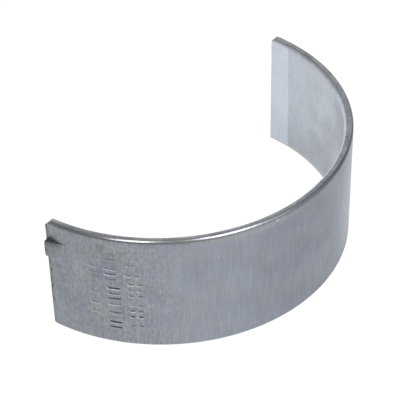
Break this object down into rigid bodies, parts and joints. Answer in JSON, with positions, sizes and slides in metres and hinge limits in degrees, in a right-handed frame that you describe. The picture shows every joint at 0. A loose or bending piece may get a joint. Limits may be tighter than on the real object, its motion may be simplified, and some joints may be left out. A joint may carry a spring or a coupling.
{
  "type": "engine bearing shell",
  "caption": "Thin half-round plain bearing shell for a connecting rod's big end, with a locating tang, chamfered edges and crush relief beside both parting faces.",
  "frame": {"origin": "middle of the bounding box's underside, so the lower side face lies on Z = 0; the journal's axis is the vertical line X = 0.42 mm, Y = 14.91 mm", "axes": "+Z along the journal's axis, from the narrow bore chamfer to the wide one; +X across the two parting faces, away from the tang; +Y out of the open side, with the crown of the arc at -Y"},
  "size_m": [0.0585, 0.028, 0.0202],
  "materials": {
    "steel": "satin, ground along the journal's axis"
  },
  "bodies": {
    "root": {"bearing_shell": "steel"}
  },
  "joints": []
}
